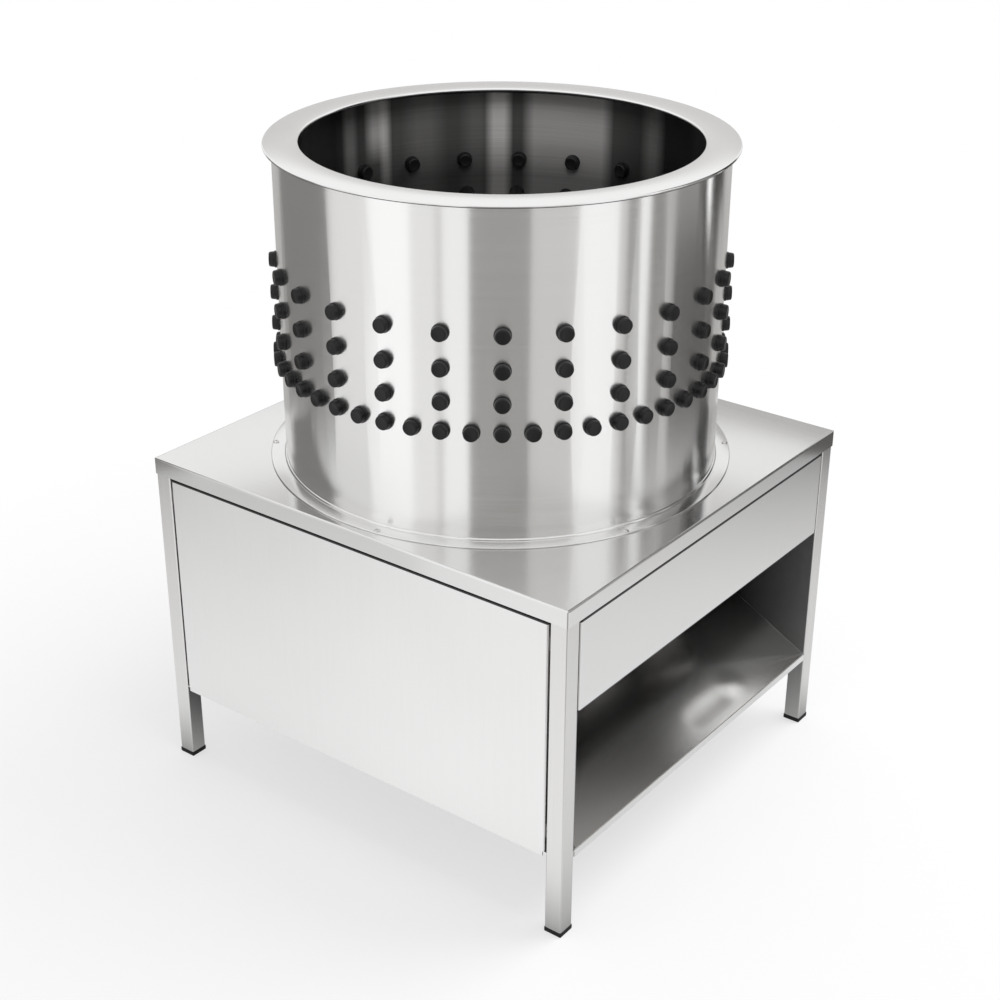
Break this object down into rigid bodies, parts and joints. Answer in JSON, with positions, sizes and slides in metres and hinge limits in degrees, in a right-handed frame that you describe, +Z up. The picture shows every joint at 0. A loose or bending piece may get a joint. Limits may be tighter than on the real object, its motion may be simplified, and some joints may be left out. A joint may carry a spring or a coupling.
{
  "type": "poultry plucker",
  "caption": "Stainless drum poultry plucker on a square-legged table: finger-studded drum, spinning finger plate, belt drive and motor, feather outlet on one side.",
  "frame": {"origin": "on the floor under the drum axis, middle of the table", "axes": "+Z up along the drum axis, +X towards the feather outlet, -Y towards the front panel"},
  "size_m": [0.694, 0.654, 0.914],
  "materials": {
    "drum_stainless": "brushed stainless, grain round the drum",
    "table_stainless": "brushed stainless, satin",
    "leg_stainless": "brushed stainless tube, grain along the tube",
    "panel_stainless": "fine satin stainless sheet",
    "plate_stainless": "brushed stainless",
    "finger_rubber": "matte black rubber",
    "foot_rubber": "matte black rubber",
    "structural_steel": "grey primer",
    "bright_steel": "ground steel",
    "zinc_fasteners": "zinc plated",
    "cast_iron": "cast and machined",
    "cage_brass": "pressed",
    "belt_rubber": "wrapped V-belt",
    "motor_paint": "semi-gloss grey paint",
    "black_plastic": "fine moulded texture",
    "start_green": "gloss",
    "stop_red": "gloss"
  },
  "bodies": {
    "frame": {"drum_wall": "drum_stainless", "drum_rim": "drum_stainless", "drum_flange": "drum_stainless", "flange_screws": "drum_stainless", "table_top": "table_stainless", "legs": "leg_stainless", "top_rails": "leg_stainless", "cross_beams": "leg_stainless", "front_panel": "panel_stainless", "back_panel": "panel_stainless", "left_panel": "panel_stainless", "outlet_apron": "panel_stainless", "outlet_floor": "panel_stainless", "panel_clips": "panel_stainless", "motor_cover": "panel_stainless", "belt_guard": "panel_stainless", "wall_fingers_top_row": "finger_rubber", "wall_fingers_second_row": "finger_rubber", "wall_fingers_third_row": "finger_rubber", "wall_fingers_bottom_row": "finger_rubber", "wall_fingers_rear_row": "finger_rubber", "foot_caps": "foot_rubber", "shaft_seal": "foot_rubber", "support_plate": "structural_steel", "motor_bracket": "structural_steel", "bearing_outer_rings": "bright_steel", "retaining_ring": "bright_steel", "housing_bolts": "zinc_fasteners", "bracket_bolts": "zinc_fasteners", "guard_screws": "zinc_fasteners", "bearing_housing": "cast_iron", "v_belt": "belt_rubber", "motor_housing": "motor_paint", "motor_flange": "motor_paint", "fan_cover": "motor_paint", "terminal_box_lid": "motor_paint", "switch_body": "black_plastic", "cable_gland": "black_plastic"},
    "rotor": {"main_shaft": "bright_steel", "spacer_sleeve": "bright_steel", "shaft_keys": "bright_steel", "plate_hub": "cast_iron", "hub_bolts": "plate_stainless", "feather_plate": "plate_stainless", "plate_fingers_inner_ring": "finger_rubber", "plate_fingers_middle_ring": "finger_rubber", "plate_fingers_outer_ring": "finger_rubber", "clamp_washer": "plate_stainless", "cap_nut": "plate_stainless", "driven_pulley": "cast_iron", "pulley_bolt": "zinc_fasteners", "bearing_inner_rings": "bright_steel"},
    "ball_sets": {"bearing_balls": "bright_steel", "bearing_cages": "cage_brass"},
    "motor_rotor": {"motor_shaft": "bright_steel", "motor_pulley": "cast_iron", "motor_fan": "black_plastic"},
    "start_button": {"start_button": "start_green"},
    "stop_button": {"stop_button": "stop_red"}
  },
  "joints": [
    {"name": "plate_spin", "type": "hinge", "parent": "frame", "child": "rotor", "pos_m": [0, 0, 0], "axis": [0, 0, 1], "continuous": true},
    {"name": "motor_spin", "type": "hinge", "parent": "frame", "child": "motor_rotor", "pos_m": [-0.235, 0, 0], "axis": [0, 0, 1], "continuous": true},
    {"name": "ball_set_orbit", "type": "hinge", "parent": "frame", "child": "ball_sets", "pos_m": [0, 0, 0], "axis": [0, 0, 1], "continuous": true},
    {"name": "start_press", "type": "slide", "parent": "frame", "child": "start_button", "axis": [1, 0, 0], "range_m": [0, 0.0025], "stiffness_N_per_m": 400},
    {"name": "stop_press", "type": "slide", "parent": "frame", "child": "stop_button", "axis": [1, 0, 0], "range_m": [0, 0.0025], "stiffness_N_per_m": 400}
  ],
  "couplings": [
    {"joint": "motor_spin", "follows": "plate_spin", "ratio": 4},
    {"joint": "ball_set_orbit", "follows": "plate_spin", "ratio": 0.3967}
  ]
}
